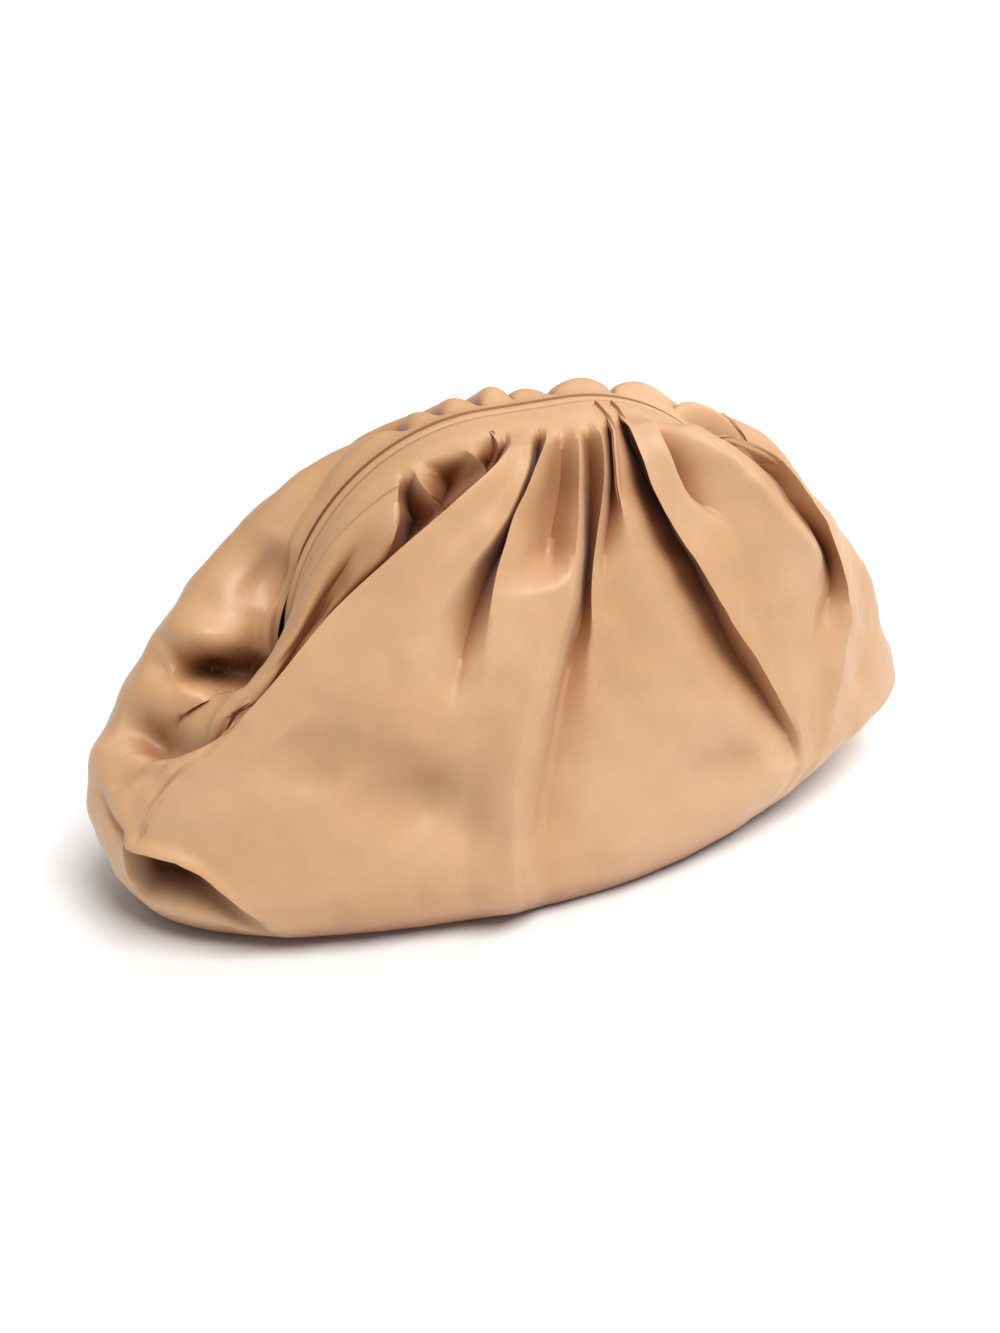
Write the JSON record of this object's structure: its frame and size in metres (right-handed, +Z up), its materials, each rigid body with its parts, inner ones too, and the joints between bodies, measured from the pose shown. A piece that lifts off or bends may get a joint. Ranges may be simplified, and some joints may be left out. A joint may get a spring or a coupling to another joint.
{
  "type": "gathered pouch clutch bag",
  "caption": "Soft leather pouch bag, gathered onto an arched frame that is hinged at both ends and shut.",
  "frame": {"origin": "middle of the bag's box, on the floor that it rests on", "axes": "+X along the mouth to the right, -Y towards the front, +Z up"},
  "size_m": [0.386, 0.1678, 0.2029],
  "materials": {
    "leather": "smooth calf with a soft sheen",
    "frame_leather": "smooth calf stretched over the frame",
    "hinge_pin": "plain brass"
  },
  "bodies": {
    "root": {"leather_body": "leather", "front_frame": "frame_leather", "back_frame": "frame_leather", "hinge_pin_left": "hinge_pin", "hinge_pin_right": "hinge_pin"}
  },
  "joints": []
}
